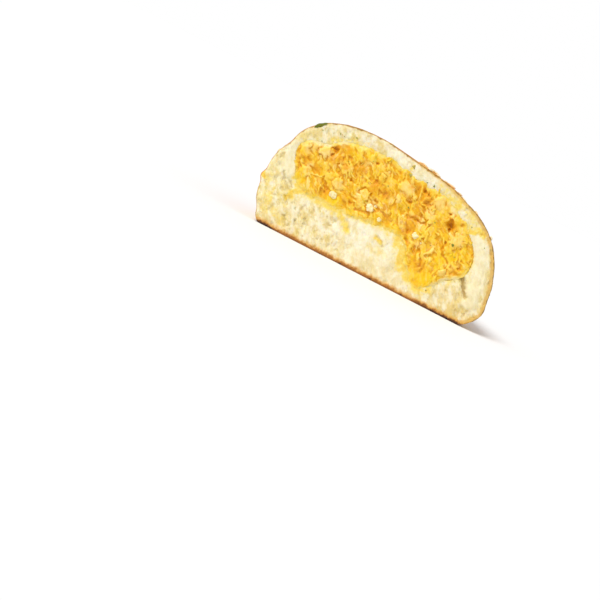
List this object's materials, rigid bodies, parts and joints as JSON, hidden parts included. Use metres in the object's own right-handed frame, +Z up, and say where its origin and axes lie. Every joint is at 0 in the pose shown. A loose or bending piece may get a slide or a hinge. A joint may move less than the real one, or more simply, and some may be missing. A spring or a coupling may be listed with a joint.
{
  "type": "stuffed potato bread roll, cut half",
  "caption": "Half of a round, glazed and sesame-topped bread roll, cut down the middle to show its crumb and shredded savoury filling.",
  "frame": {"origin": "on the flat base, under the middle of the part's box", "axes": "+Z up from the base, +X along the cut's long side, to the right as the cut is looked at, -Y out of the cut face"},
  "size_m": [0.1078, 0.0552, 0.0544],
  "materials": {
    "bread": "glazed golden crust outside, pale open crumb at the cut",
    "filling": "moist, shredded and sauced",
    "sesame": "satin seed coat",
    "greens": "baked herb leaf",
    "char": "dry burnt crumb"
  },
  "bodies": {
    "root": {"bread": "bread", "filling": "filling"}
  },
  "joints": []
}
